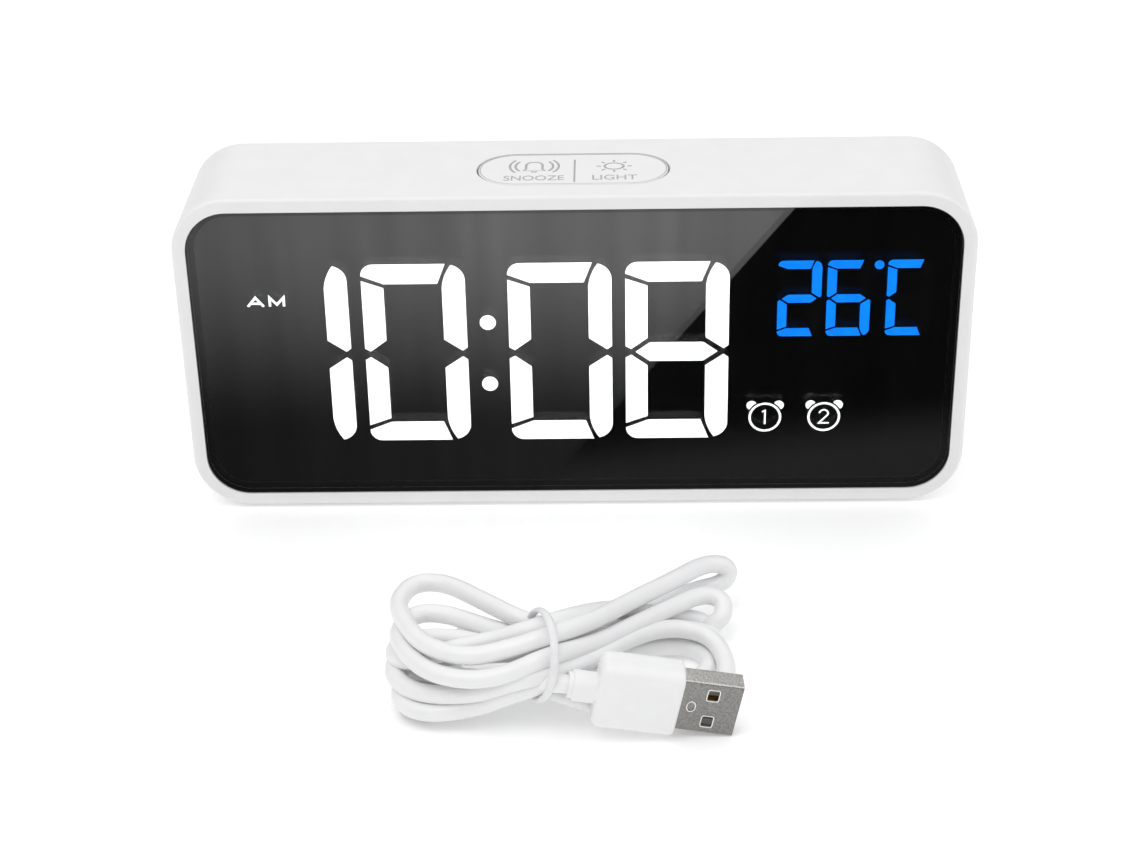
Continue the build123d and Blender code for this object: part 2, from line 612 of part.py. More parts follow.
# ---------------------------------------------------------------- rear cover
with BuildPart() as rear_cover:
    with BuildSketch(facing(COVER_OUT)):
        RectangleRounded(CAVITY_W - 0.4, CAVITY_H - 0.4, CAVITY_R - 0.2)
    extrude(amount=COVER_T)
    with BuildSketch(facing(COVER_IN)):
        with GridLocations(2 * SCREW_X, 2 * SCREW_RISE, 2, 2):
            Circle(BOSS_R + 0.2)
    extrude(amount=COVER_IN - BOSS_BACK)
    with BuildSketch(facing(COVER_OUT)):
        with GridLocations(2 * SCREW_X, 2 * SCREW_RISE, 2, 2):
            Circle(3.0)
    extrude(amount=2.2, mode=Mode.SUBTRACT)
    with BuildSketch(facing(COVER_OUT)):
        with GridLocations(2 * SCREW_X, 2 * SCREW_RISE, 2, 2):
            Circle(1.65)
    extrude(amount=COVER_OUT - BOSS_BACK, mode=Mode.SUBTRACT)
    # posts that carry the rear board
    with BuildSketch(facing(COVER_IN)):
        with Locations(*rear_posts):
            Circle(2.5)
    extrude(amount=COVER_IN - REAR_BOARD_BACK)
    with BuildSketch(facing(REAR_BOARD_BACK)):
        with Locations(*rear_posts):
            Circle(0.9)
    extrude(amount=-5, mode=Mode.SUBTRACT)
    # well for the backup cell, with a recess for its door
    with BuildSketch(facing(COVER_IN)):
        with Locations(CELL_AT):
            RectangleRounded(DOOR_SIDE + 4, DOOR_SIDE + 4, 1.5)
    extrude(amount=COVER_IN - WELL_FRONT)
    with BuildSketch(facing(COVER_OUT)):
        with Locations(CELL_AT):
            Rectangle(DOOR_SIDE + 2 * DOOR_GAP, DOOR_SIDE + 2 * DOOR_GAP)
    extrude(amount=COVER_OUT - DOOR_IN + 0.1, mode=Mode.SUBTRACT)
    with BuildSketch(facing(COVER_OUT)):
        with Locations(CELL_AT):
            RectangleRounded(22.6, 22.6, 2)
    extrude(amount=COVER_OUT - WELL_FRONT - 1.2, mode=Mode.SUBTRACT)
    with BuildSketch(Plane((CELL_AT[0] - DOOR_SIDE / 2 - PIN_LONG - 0.1, DOOR_AXIS_Y,
                            MID_Z + DOOR_AXIS_RISE), x_dir=(0, 1, 0), z_dir=(1, 0, 0))):
        Circle(PIN_R + 0.07)
    extrude(amount=DOOR_SIDE + 2 * PIN_LONG + 0.2, mode=Mode.SUBTRACT)
    with BuildSketch(facing(COVER_OUT)):
        with Locations((CELL_AT[0], CELL_AT[1] + DOOR_SIDE / 2 + 1)):
            SlotOverall(12, 5)
    extrude(amount=0.9, mode=Mode.SUBTRACT)
    # buttons, inlet, sound holes and vents
    with BuildSketch(facing(COVER_OUT)):
        with Locations(*button_spots):
            SlotOverall(REAR_BUTTON[0] + 2 * REAR_BUTTON_GAP, REAR_BUTTON[1] + 2 * REAR_BUTTON_GAP)
        with Locations(INLET_AT):
            RectangleRounded(INLET_W + 0.5, INLET_H + 0.5, 0.9)
        with Locations(BUZZER_AT):
            Circle(0.7)
            with PolarLocations(2.6, 6):
                Circle(0.7)
            with PolarLocations(5.0, 12):
                Circle(0.7)
        with Locations((58, -16)):
            with GridLocations(4, 0, 9, 1):
                SlotOverall(14, 1.5, rotation=90)
    extrude(amount=COVER_T, mode=Mode.SUBTRACT)
save(rear_cover.part, "rear_cover")

save(screws(four(SCREW_X, SCREW_RISE), rearward(COVER_OUT - 2.2), 2.75, 1.8, 1.4, 11), "cover_screws")

with BuildPart() as battery_door:
    with BuildSketch(facing(DOOR_IN)):
        with Locations((CELL_AT[0], CELL_AT[1] + DOOR_T / 4)):
            Rectangle(DOOR_SIDE, DOOR_SIDE - DOOR_T / 2)
    extrude(amount=-DOOR_T)
    with BuildSketch(Plane((CELL_AT[0] - DOOR_SIDE / 2, DOOR_AXIS_Y, MID_Z + DOOR_AXIS_RISE),
                           x_dir=(0, 1, 0), z_dir=(1, 0, 0))):
        Circle(DOOR_T / 2)
    extrude(amount=DOOR_SIDE)
    with BuildSketch(Plane((CELL_AT[0] - DOOR_SIDE / 2 - PIN_LONG, DOOR_AXIS_Y,
                            MID_Z + DOOR_AXIS_RISE), x_dir=(0, 1, 0), z_dir=(1, 0, 0))):
        Circle(PIN_R)
    extrude(amount=DOOR_SIDE + 2 * PIN_LONG)
    # spring tongue: two slits down from the top edge
    with BuildSketch(facing(DOOR_OUT)):
        with Locations((CELL_AT[0], CELL_AT[1] + DOOR_SIDE / 2 - 2.5)):
            with GridLocations(9, 0, 2, 1):
                Rectangle(0.8, 5.2)
    extrude(amount=DOOR_T, mode=Mode.SUBTRACT)
    # grip ribs
    with BuildSketch(facing(DOOR_OUT)):
        with Locations((CELL_AT[0], CELL_AT[1] + 6)):
            with GridLocations(0, 1.6, 1, 3):
                SlotOverall(7, 0.7)
    extrude(amount=0.3, mode=Mode.SUBTRACT)
save(battery_door.part, "battery_door")

cell_front = WELL_FRONT + 2.2
with BuildPart() as backup_cell:
    with BuildSketch(facing(cell_front)):
        with Locations(CELL_AT):
            Circle(CELL_R - 1)
    extrude(amount=-0.4)
    with BuildSketch(facing(cell_front + 0.4)):
        with Locations(CELL_AT):
            Circle(CELL_R)
    extrude(amount=-(CELL_T - 0.4))
    fillet(backup_cell.faces().sort_by(Axis.Y)[-1].edges(), 0.4)
save(backup_cell.part, "backup_cell")

with BuildPart() as cell_contacts:
    # leaf under the cell
    with BuildSketch(Plane((CELL_AT[0] - 2.5, 0, MID_Z + CELL_AT[1]), x_dir=(0, 1, 0), z_dir=(1, 0, 0))):
        well_floor = WELL_FRONT + 1.2
        with BuildLine():
            Polyline((well_floor, -9), (well_floor, 3), (cell_front - 0.3, 7), (cell_front, 7),
                     (well_floor + 0.3, 2.6), (well_floor + 0.3, -9), close=True)
        make_face()
    extrude(amount=5)
    # clip beside the cell
    with BuildSketch(facing(well_floor)):
        with Locations((CELL_AT[0] + CELL_R + 0.4, CELL_AT[1])):
            Rectangle(0.4, 7)
    extrude(amount=-3.9)
save(cell_contacts.part, "cell_contacts")

# ---------------------------------------------------------------- USB lead
with BuildPart() as cable_hank:
    for x, y, z, wide, high in HANK_SECTIONS:
        with BuildSketch(Plane((x, y, z), x_dir=(0, 1, 0), z_dir=(1, 0, 0))):
            Ellipse(wide / 2, high / 2)
    loft(ruled=True)
save(cable_hank.part, "cable_hank")

plug_turn, plug_dip, plug_roll = (math.radians(angle) for angle in (PLUG_TURN, PLUG_DIP, PLUG_ROLL))
plug_axis = Vector(math.cos(plug_turn) * math.cos(plug_dip), math.sin(plug_turn) * math.cos(plug_dip),
                   -math.sin(plug_dip))
plug_side = Vector(-math.sin(plug_turn), math.cos(plug_turn), 0)
plug_back = plug_side * math.cos(plug_roll) + plug_axis.cross(plug_side) * math.sin(plug_roll)


def along_plug(distance):
    """A plane across the plug, that far from its cord end. Local X is the plug's thickness."""
    return Plane(Vector(*PLUG_EXIT) + plug_axis * distance, x_dir=plug_back, z_dir=plug_axis)


with BuildPart() as cable_lead:
    lead = Vector(*LEAD_END) - Vector(*PLUG_EXIT)
    with BuildSketch(Plane(PLUG_EXIT, z_dir=lead)):
        Circle(CORD_R)
    extrude(amount=lead.length)
save(cable_lead.part, "cable_lead")
print("lead", round(lead.length, 2), "mm, one straight run")

with BuildPart() as cable_tie:
    turn, dip = math.radians(TIE_TURN), math.radians(TIE_DIP)
    through = (math.cos(turn) * math.cos(dip), math.sin(turn) * math.cos(dip), -math.sin(dip))
    with BuildLine(Plane(TIE_AT, x_dir=(-math.sin(turn), math.cos(turn), 0), z_dir=through)) as ring:
        CenterArc((0, 0), TIE_RING_R, 0, 360)
    with BuildSketch(Plane(ring.line @ 0, z_dir=ring.line % 0)):
        Circle(TIE_R)
    sweep()
save(cable_tie.part, "cable_tie")

with BuildPart() as usb_grip:
    with BuildSketch(along_plug(NECK_LONG)):
        RectangleRounded(GRIP_THICK, GRIP_WIDE, 2.4)
    extrude(amount=GRIP_LONG)
    fillet(usb_grip.faces().sort_by(Axis.X)[-1].edges(), 0.8)
    fillet(usb_grip.faces().sort_by(Axis.X)[0].edges(), 1.7)
    # cord sleeve with a smaller collar at its end
    with BuildSketch(along_plug(0.8)):
        Circle(NECK_R)
    extrude(amount=NECK_LONG + 0.5)
    fillet(usb_grip.faces().sort_by(Axis.X)[0].edges(), 0.6)
    with BuildSketch(along_plug(0)):
        Circle(NECK_R - 0.5)
    extrude(amount=2)
    with BuildSketch(along_plug(NECK_LONG + 6)):
        RectangleRounded(SHELL_THICK, SHELL_WIDE, 0.4)
    extrude(amount=GRIP_LONG, mode=Mode.SUBTRACT)
save(usb_grip.part, "usb_grip")

shell_start, shell_end = NECK_LONG + 6, NECK_LONG + GRIP_LONG + SHELL_LONG
inner_thick, inner_wide = SHELL_THICK - 2 * SHELL_WALL, SHELL_WIDE - 2 * SHELL_WALL
with BuildPart() as usb_shell:
    with BuildSketch(along_plug(shell_start)):
        RectangleRounded(SHELL_THICK, SHELL_WIDE, 0.4)
        RectangleRounded(inner_thick, inner_wide, 0.2, mode=Mode.SUBTRACT)
    extrude(amount=shell_end - shell_start)
    # two catch windows through both wide walls
    with BuildSketch(Plane(along_plug(shell_end - 5.6).origin, x_dir=plug_axis, z_dir=plug_back * -1)):
        with GridLocations(0, 6.4, 1, 2):
            RectangleRounded(2.3, 2.6, 0.3)
    extrude(amount=SHELL_THICK, both=True, mode=Mode.SUBTRACT)
    # pressed oval between the windows and the grip, on both wide walls
    for side in (1, -1):
        press = along_plug(shell_end - 9.4).origin + plug_back * side * (SHELL_THICK / 2 - 0.15)
        with BuildSketch(Plane(press, x_dir=plug_axis, z_dir=plug_back * side)):
            Ellipse(0.95, 1.3)
        extrude(amount=1, mode=Mode.SUBTRACT)
save(usb_shell.part, "usb_shell")

with BuildPart() as usb_tongue:
    with BuildSketch(along_plug(shell_start)):
        RectangleRounded(inner_thick, inner_wide, 0.25)
    extrude(amount=3)
    with BuildSketch(along_plug(shell_start + 3)):
        with Locations(((inner_thick - 1.9) / 2, 0)):
            RectangleRounded(1.9, inner_wide, 0.25)
    extrude(amount=shell_end - shell_start - 3.6)
save(usb_tongue.part, "usb_tongue")

with BuildPart() as usb_contacts:
    with BuildSketch(along_plug(shell_start + 3.2)):
        with Locations((inner_thick / 2 - 1.9 - 0.1, 0)):
            with GridLocations(0, 2.3, 1, 4):
                Rectangle(0.2, 1.1)
    extrude(amount=shell_end - shell_start - 5)
save(usb_contacts.part, "usb_contacts")


far_heading, far_dip = math.radians(FAR_HEADING), math.radians(FAR_DIP)
far_axis = Vector(math.cos(far_heading) * math.cos(far_dip), math.sin(far_heading) * math.cos(far_dip),
                  -math.sin(far_dip))


def along_far(distance):
    """A plane across the small connector, that far behind its mouth and facing it."""
    return Plane(Vector(*FAR_TIP) - far_axis * distance,
                 x_dir=(-math.sin(far_heading), math.cos(far_heading), 0), z_dir=far_axis)


shell_long, shell_wide, shell_thick = FAR_SHELL
grip_long, grip_wide, grip_thick = FAR_GRIP
with BuildPart() as far_grip:
    with BuildSketch(along_far(shell_long + grip_long)):
        RectangleRounded(grip_wide, grip_thick, 1.4)
    extrude(amount=grip_long)
    with BuildSketch(along_far(shell_long + grip_long)):
        Circle(FAR_NECK_R)
    extrude(amount=-FAR_NECK_LONG)
save(far_grip.part, "far_grip")

with BuildPart() as far_shell:
    with BuildSketch(along_far(shell_long)):
        RectangleRounded(shell_wide, shell_thick, 0.5)
        RectangleRounded(shell_wide - 0.5, shell_thick - 0.5, 0.3, mode=Mode.SUBTRACT)
    extrude(amount=shell_long)
save(far_shell.part, "far_shell")
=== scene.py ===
"""Mirror-faced alarm clock with its folded white USB lead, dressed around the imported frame."""

import math

import bpy
from mathutils import Matrix, Vector


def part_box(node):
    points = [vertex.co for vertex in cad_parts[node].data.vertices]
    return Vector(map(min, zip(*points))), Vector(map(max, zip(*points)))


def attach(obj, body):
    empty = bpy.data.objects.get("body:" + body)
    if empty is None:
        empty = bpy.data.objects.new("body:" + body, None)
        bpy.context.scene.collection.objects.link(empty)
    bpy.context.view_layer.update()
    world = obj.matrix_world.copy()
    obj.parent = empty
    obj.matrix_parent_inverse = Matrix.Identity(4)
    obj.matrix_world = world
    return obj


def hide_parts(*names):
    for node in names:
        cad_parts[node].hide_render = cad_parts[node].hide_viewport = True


MM = 0.001
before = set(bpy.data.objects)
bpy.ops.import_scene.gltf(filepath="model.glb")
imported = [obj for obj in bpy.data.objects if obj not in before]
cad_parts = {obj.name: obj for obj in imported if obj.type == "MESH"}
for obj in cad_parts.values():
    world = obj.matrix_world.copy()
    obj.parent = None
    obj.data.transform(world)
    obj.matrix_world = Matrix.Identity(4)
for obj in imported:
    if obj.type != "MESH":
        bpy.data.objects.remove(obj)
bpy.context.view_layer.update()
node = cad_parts


def mm(x, y, z):
    """A point given in millimetres, in metres."""
    return Vector((x, y, z)) * MM


def placed(name, data):
    """A new object of that name, linked into the scene."""
    thing = bpy.data.objects.new(name, data)
    bpy.context.scene.collection.objects.link(thing)
    return thing


def pointing(turn, dip):
    """The way that a line goes when it is turned about the upright and dips from level."""
    return Vector((math.cos(turn) * math.cos(dip), math.sin(turn) * math.cos(dip), -math.sin(dip)))


# ---------------------------------------------------------------- camera
CAMERA_AT = mm(8.3, -468.0, 268.9)
CAMERA_DOWN, CAMERA_SIDE, CAMERA_ROLL = (math.radians(a) for a in (28.845, -1.242, -1.111))
LENS = 71.97
NEAREST_SEEN = 10 * MM


def add_camera():
    ahead = Vector((math.sin(CAMERA_SIDE) * math.cos(CAMERA_DOWN),
                    math.cos(CAMERA_SIDE) * math.cos(CAMERA_DOWN), -math.sin(CAMERA_DOWN)))
    level = Vector((math.cos(CAMERA_SIDE), -math.sin(CAMERA_SIDE), 0))
    rise = level.cross(ahead)
    right = math.cos(CAMERA_ROLL) * level + math.sin(CAMERA_ROLL) * rise
    up = math.cos(CAMERA_ROLL) * rise - math.sin(CAMERA_ROLL) * level
    lens = bpy.data.cameras.new("camera")
    lens.lens = LENS
    lens.clip_start = NEAREST_SEEN
    camera = placed("camera", lens)
    turn = Matrix((right, up, -ahead)).transposed().to_4x4()
    camera.matrix_world = Matrix.Translation(CAMERA_AT) @ turn
    bpy.context.scene.camera = camera


add_camera()

# ---------------------------------------------------------------- folded lead
CORD_D = 3.8
TIE_AT = Vector((-6.6, -99.2, 15.0))
TIE_TURN, TIE_DIP = math.radians(18.4), math.radians(12.2)
TIE_R, TIE_WIDE, TIE_THICK = 8.75, 1.7, 1.15
TIE_THROUGH = pointing(TIE_TURN, TIE_DIP)
SIGHT = math.radians(34)  # the tie's places are counted from this far above its front
OUTER_PLACE, INNER_PLACE = 5.95, 1.95  # from the tie's middle to the outer and the inner strands
MIDDLE_PLACES = {"first middle": 20, "second middle": 200}
PLUG_END = Vector((-1.02, -105.75, 12.65))
INTO_LEAD = Vector((-0.98, -0.051, 0.193))
STRAIGHT_OUT = 3.0  # how far the lead leaves the plug before its first bend
FAR_END = Vector((-25.75, -83.87, 4.6))

# Each run passes the tie at one of its places, an angle round it or one of the two in its middle,
# and bends through these points, in mm, to the next run.
RUNS = [
    ("lead, then lowest left fold", 285,
     [(-12, -104.3, 9.3), (-18.5, -103.2, 5.6), (-27.5, -103.4, 4.0), (-33.2, -101.3, 4.2),
      (-35, -96.2, 4.6), (-32.5, -92.6, 7.0), (-25, -95.6, 7.6), (-17, -97.4, 8.0)]),
    ("front right fold, under the plug", 248,
     [(1.5, -102.8, 6.4), (9, -99, 3.2), (18, -97.3, 2.2), (27, -96, 2.2), (30.9, -91, 3.2),
      (30.4, -84.2, 4.8), (27, -78.9, 6.2), (19, -79.5, 8.2), (11, -87.2, 10.7), (4, -97, 12.4)]),
    ("second left fold", 322,
     [(-12, -104.3, 12.0), (-19, -104, 9.2), (-29, -101.8, 7.4), (-34.8, -98, 7.6),
      (-36.5, -91.5, 8), (-32, -87.3, 8.4), (-22, -90, 8.6)]),
    ("inner right fold", "first middle",
     [(5, -93, 9.5), (12, -84.5, 5.8), (19.6, -78.6, 3.2), (25.5, -79, 2.3), (28, -85, 2.2),
      (24, -91, 2.2), (15, -92.3, 3.2), (6, -94.5, 7)]),
    ("third left fold", "second middle",
     [(-20, -89.5, 12), (-29.5, -86.5, 11), (-35.8, -88.5, 10.4), (-35.7, -93.4, 10.2),
      (-31, -96.1, 11.4), (-24.3, -96.2, 14.4), (-15.5, -96.6, 16.8)]),
    ("middle right fold", 74,
     [(0, -91.5, 19), (6.5, -82.5, 14.6), (14, -76.5, 9.8), (22, -72, 5.6), (27.4, -71.5, 4),
      (28.8, -75.6, 3), (25, -77.5, 6), (18, -77, 6), (8, -85, 9)]),
    ("fourth left fold", 148,
     [(-17.5, -87.3, 13.6), (-26.5, -81.3, 13.2), (-32.6, -81.9, 13.4), (-35.4, -88.5, 13.6),
      (-33.7, -95.5, 13.7), (-28, -103, 13.6), (-20, -106.0, 13.7), (-12.5, -104.9, 14.4)]),
    ("rear right fold", 358,
     [(4, -94.6, 14.2), (12, -84.4, 12), (20, -75.4, 10.2), (26.6, -68.7, 9.2),
      (31.3, -70.0, 8.4), (30.3, -74.4, 5.6), (25, -71, 2.4), (17, -71.8, 2.4), (8, -80, 6)]),
    ("top left fold", 111,
     [(-18.5, -82.6, 17), (-26.5, -74.8, 16.4), (-33, -75, 16.4), (-35.8, -82, 16.4),
      (-33.9, -89.3, 16.5), (-29.3, -98.4, 16.8), (-20.5, -103.4, 17.2), (-12, -101.6, 18.2)]),
    ("top right fold", 36,
     [(3.5, -92.3, 18.0), (12, -79.8, 15), (21, -69.6, 13.4), (27.6, -61.8, 12.4),
      (32.6, -60.6, 10.8), (31.9, -61.6, 7.2), (25, -62.8, 6.2), (15, -69.6, 6.2), (5, -80.5, 8.5)]),
    ("last short end", 192, [(-14, -83.5, 7), (-20.5, -77.8, 5.8), (-24.2, -78.6, 5.7)]),
]


def tie_place(angle):
    """Where a run passes through the tie."""
    up = (Vector((0, 0, 1)) - TIE_THROUGH * TIE_THROUGH.z).normalized()
    front = TIE_THROUGH.cross(up)
    toward = math.cos(SIGHT) * front + math.sin(SIGHT) * up
    above = math.cos(SIGHT) * up - math.sin(SIGHT) * front
    reach = INNER_PLACE if angle in MIDDLE_PLACES else OUTER_PLACE
    turn = math.radians(MIDDLE_PLACES.get(angle, angle))
    return TIE_AT + reach * (math.cos(turn) * toward + math.sin(turn) * above)


def lead_route():
    """The lead's bends from the plug to the far connector, in mm."""
    points = [PLUG_END, PLUG_END + INTO_LEAD * STRAIGHT_OUT]
    for _, angle, bends in RUNS:
        points.append(tie_place(angle))
        points += [Vector(bend) for bend in bends]
    return points + [FAR_END]


def add_lead():
    line = bpy.data.curves.new("folded_lead", "CURVE")
    line.dimensions = "3D"
    line.bevel_depth = 1  # each point's own radius sets the cord's
    line.bevel_resolution = 5
    line.resolution_u = line.render_resolution_u = 8
    line.use_fill_caps = True
    route = lead_route()
    spline = line.splines.new("NURBS")
    spline.points.add(len(route) - 1)
    for point, place in zip(spline.points, route):
        point.co = (*(place * MM), 1)
        point.radius = CORD_D / 2 * MM
    spline.order_u = 3
    spline.use_endpoint_u = True
    return placed("folded_lead", line)


def add_tie():
    """A soft band round the folds, flatter than it is wide."""
    bpy.ops.object.select_all(action="DESELECT")
    bpy.ops.mesh.primitive_torus_add(major_segments=96, minor_segments=20, major_radius=TIE_R * MM,
                                     minor_radius=TIE_WIDE / 2 * MM)
    tie = bpy.context.active_object
    tie.name = tie.data.name = "tie_band"
    for corner in tie.data.vertices:
        out = Vector((corner.co.x, corner.co.y, 0))
        reach = TIE_R * MM + (out.length - TIE_R * MM) * TIE_THICK / TIE_WIDE
        corner.co = out.normalized() * reach + Vector((0, 0, corner.co.z))
    tie.matrix_world = (Matrix.Translation(TIE_AT * MM)
                        @ TIE_THROUGH.to_track_quat("Z", "Y").to_matrix().to_4x4())
    bpy.ops.object.transform_apply()
    bpy.ops.object.shade_smooth()
    return tie


lead = add_lead()
tie = add_tie()
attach(lead, "root")
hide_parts("cable_hank", "cable_lead")
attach(tie, "root")
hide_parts("cable_tie")

# ---------------------------------------------------------------- pressed edges on the plug
PLUG_TURN, PLUG_DIP, PLUG_ROLL = (math.radians(a) for a in (3.0, 11.1, 3.2))
PLUG_AXIS = pointing(PLUG_TURN, PLUG_DIP)
PLUG_SIDE = Vector((-math.sin(PLUG_TURN), math.cos(PLUG_TURN), 0))
PLUG_BACK = math.cos(PLUG_ROLL) * PLUG_SIDE + math.sin(PLUG_ROLL) * PLUG_AXIS.cross(PLUG_SIDE)
PLUG_UP = PLUG_AXIS.cross(PLUG_BACK)
SHELL_HALF, WINDOW_ALONG, OVAL_ALONG, WINDOW_RISE = 2.25, 28.1, 24.3, 3.2
WINDOW_SHAPE = (1.2, 1.35, 7)  # half its length, half its height, and how square its corners are
OVAL_SHAPE = (0.85, 1.2, 2)
RIM_R, RIM_STEPS = 0.14, 32


def add_rim(along, rise, half_long, half_high, squareness):
    """A thin pressed edge round an opening in the plug's front wall."""
    line = bpy.data.curves.new("rim", "CURVE")
    line.dimensions = "3D"
    line.bevel_depth = RIM_R * MM
    line.bevel_resolution = 2
    middle = PLUG_END + PLUG_AXIS * along + PLUG_UP * rise - PLUG_BACK * SHELL_HALF
    run = line.splines.new("POLY")
    run.points.add(RIM_STEPS - 1)
    for i, point in enumerate(run.points):
        turn = 2 * math.pi * i / RIM_STEPS
        across, over = math.cos(turn), math.sin(turn)
        across = math.copysign(abs(across) ** (2 / squareness), across) * half_long
        over = math.copysign(abs(over) ** (2 / squareness), over) * half_high
        point.co = (*((middle + PLUG_AXIS * across + PLUG_UP * over) * MM), 1)
    run.use_cyclic_u = True
    return placed("rim", line)


def merged(parts, name):
    """Turns curves and words into one mesh whose place is in its points."""
    bpy.ops.object.select_all(action="DESELECT")
    for part in parts:
        part.select_set(True)
    bpy.context.view_layer.objects.active = parts[0]
    bpy.ops.object.convert(target="MESH")
    bpy.ops.object.transform_apply()
    bpy.ops.object.join()
    whole = bpy.context.active_object
    whole.name = whole.data.name = name
    return whole


window_rims = merged([add_rim(WINDOW_ALONG, WINDOW_RISE, *WINDOW_SHAPE),
                      add_rim(WINDOW_ALONG, -WINDOW_RISE, *WINDOW_SHAPE),
                      add_rim(OVAL_ALONG, 0, *OVAL_SHAPE)], "window_rims")
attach(window_rims, "root")

# ---------------------------------------------------------------- print on the top button
PRINT_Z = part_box("snooze_light_button")[1].z
INK_RISE = 0.02 * MM
LINE, BAR = 0.5, 0.4
LETTERS_HIGH, LETTERS_BOLDER = 2.7, 0.004
OUTLINE, OUTLINE_IN = 0.22, 0.36  # line round the button, and how far in from its edge
FLANGE_OUT = 1.85  # how far the flange under the shell reaches past the button's face
BELL_X, SUN_X, BAR_X = -8.6, 9.0, 0.3
ICON_Y, WORD_Y = 0.0, -6.5
BAR_FRONT_Y, BAR_BACK_Y = -8.8, 3.9
SUN_SQUEEZE = 0.85
ink_pieces = []


def stroke(points, wide=LINE, closed=False):
    """A printed line through points, in mm on the button."""
    line = bpy.data.curves.new("ink_line", "CURVE")
    line.dimensions = "3D"
    line.bevel_depth = wide / 2 * MM
    line.bevel_resolution = 1
    line.use_fill_caps = not closed
    run = line.splines.new("POLY")
    run.points.add(len(points) - 1)
    for point, (x, y) in zip(run.points, points):
        point.co = (x * MM, y * MM, 0, 1)
    run.use_cyclic_u = closed
    ink = placed("ink_line", line)
    ink.location.z = PRINT_Z
    ink.scale.z = INK_RISE / (wide / 2 * MM)
    ink_pieces.append(ink)


def arc(x, y, radius, start, end, steps=16):
    """Points of an arc about x and y, between two angles in degrees."""
    turns = [math.radians(start + (end - start) * i / steps) for i in range(steps + 1)]
    return [(x + radius * math.cos(t), y + radius * math.sin(t)) for t in turns]


def word(text, x, wide):
    """A word centred at x, stretched to its printed width."""
    letters = bpy.data.curves.new("ink_word", "FONT")
    letters.body = text
    letters.align_x = "CENTER"
    letters.align_y = "CENTER"
    letters.size = 1
    letters.extrude = INK_RISE / 2
    letters.offset = LETTERS_BOLDER
    ink = placed("ink_word", letters)
    bpy.context.view_layer.update()
    ink.scale = (wide * MM / ink.dimensions.x, LETTERS_HIGH * MM / ink.dimensions.y, 1)
    ink.location = (x * MM, WORD_Y * MM, PRINT_Z + INK_RISE / 2)
    ink_pieces.append(ink)


def draw_bell():
    """A bell with its clapper, ringing: two arcs on each side."""
    half, foot, shoulder, top_r = 2.45, ICON_Y - 2.2, ICON_Y + 0.9, 1.8
    dome = arc(BELL_X, shoulder, top_r, 180, 0)
    stroke([(BELL_X - half, foot), (BELL_X - top_r, foot + 0.8)] + dome
           + [(BELL_X + top_r, foot + 0.8), (BELL_X + half, foot)], closed=True)
    stroke(arc(BELL_X, foot - 0.2, 0.6, 200, 340, 8))
    for radius in (4.15, 5.4):
        stroke(arc(BELL_X, ICON_Y + 0.3, radius, -40, 40, 12))
        stroke(arc(BELL_X, ICON_Y + 0.3, radius, 140, 220, 12))


def draw_sun():
    """A ring with eight short rays, a little squeezed."""
    ring = arc(SUN_X, 0, 2.1, 0, 345, 23)
    stroke([(x, ICON_Y + y * SUN_SQUEEZE) for x, y in ring], closed=True)
    for ray in range(8):
        turn = math.radians(45 * ray)
        stroke([(SUN_X + reach * math.cos(turn), ICON_Y + reach * math.sin(turn) * SUN_SQUEEZE)
                for reach in (2.9, 3.9)])


def draw_outline():
    """The line round the button's face, just inside its edge."""
    low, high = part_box("snooze_light_button")
    inset = FLANGE_OUT + OUTLINE_IN
    middle_y, round_r = (low.y + high.y) / 2 / MM, (high.y - low.y) / 2 / MM - inset
    straight = high.x / MM - inset - round_r
    right = arc(straight, middle_y, round_r, -90, 90, 24)
    left = arc(-straight, middle_y, round_r, 90, 270, 24)
    stroke(right + left, OUTLINE, closed=True)


draw_bell()
draw_sun()
draw_outline()
stroke([(BAR_X, BAR_FRONT_Y), (BAR_X, BAR_BACK_Y)], BAR)
word("SNOOZE", BELL_X, 13.2)
word("LIGHT", SUN_X, 9.8)
button_print = merged(ink_pieces, "button_print")
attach(button_print, "snooze_light_button")


# ---------------------------------------------------------------- finishes
BUMP_STRENGTH = 0.6


def ranged(tree, value, source, target, smooth=False):
    """The value taken from one range to another, and kept inside it."""
    step = tree.nodes.new("ShaderNodeMapRange")
    if smooth:
        step.interpolation_type = "SMOOTHSTEP"
    step.inputs["From Min"].default_value, step.inputs["From Max"].default_value = source
    step.inputs["To Min"].default_value, step.inputs["To Max"].default_value = target
    tree.links.new(value, step.inputs["Value"])
    return step.outputs["Result"]


def noise(tree, place, scale, detail=2):
    """A soft random pattern, with that many features in a metre."""
    pattern = tree.nodes.new("ShaderNodeTexNoise")
    pattern.inputs["Scale"].default_value = scale
    pattern.inputs["Detail"].default_value = detail
    tree.links.new(place, pattern.inputs["Vector"])
    return pattern.outputs["Fac"]


def coordinate(tree, kind):
    """Where a point lies, or which way it faces, in the object's own axes."""
    return tree.nodes.new("ShaderNodeTexCoord").outputs[kind]


def part_of(tree, vector, axis):
    """One axis of a vector."""
    split = tree.nodes.new("ShaderNodeSeparateXYZ")
    tree.links.new(vector, split.inputs[0])
    return split.outputs[axis]


def new_skin(name):
    """A new material, with its tree and its surface."""
    material = bpy.data.materials.new(name)
    material.use_nodes = True
    tree = material.node_tree
    return material, tree, tree.nodes["Principled BSDF"]


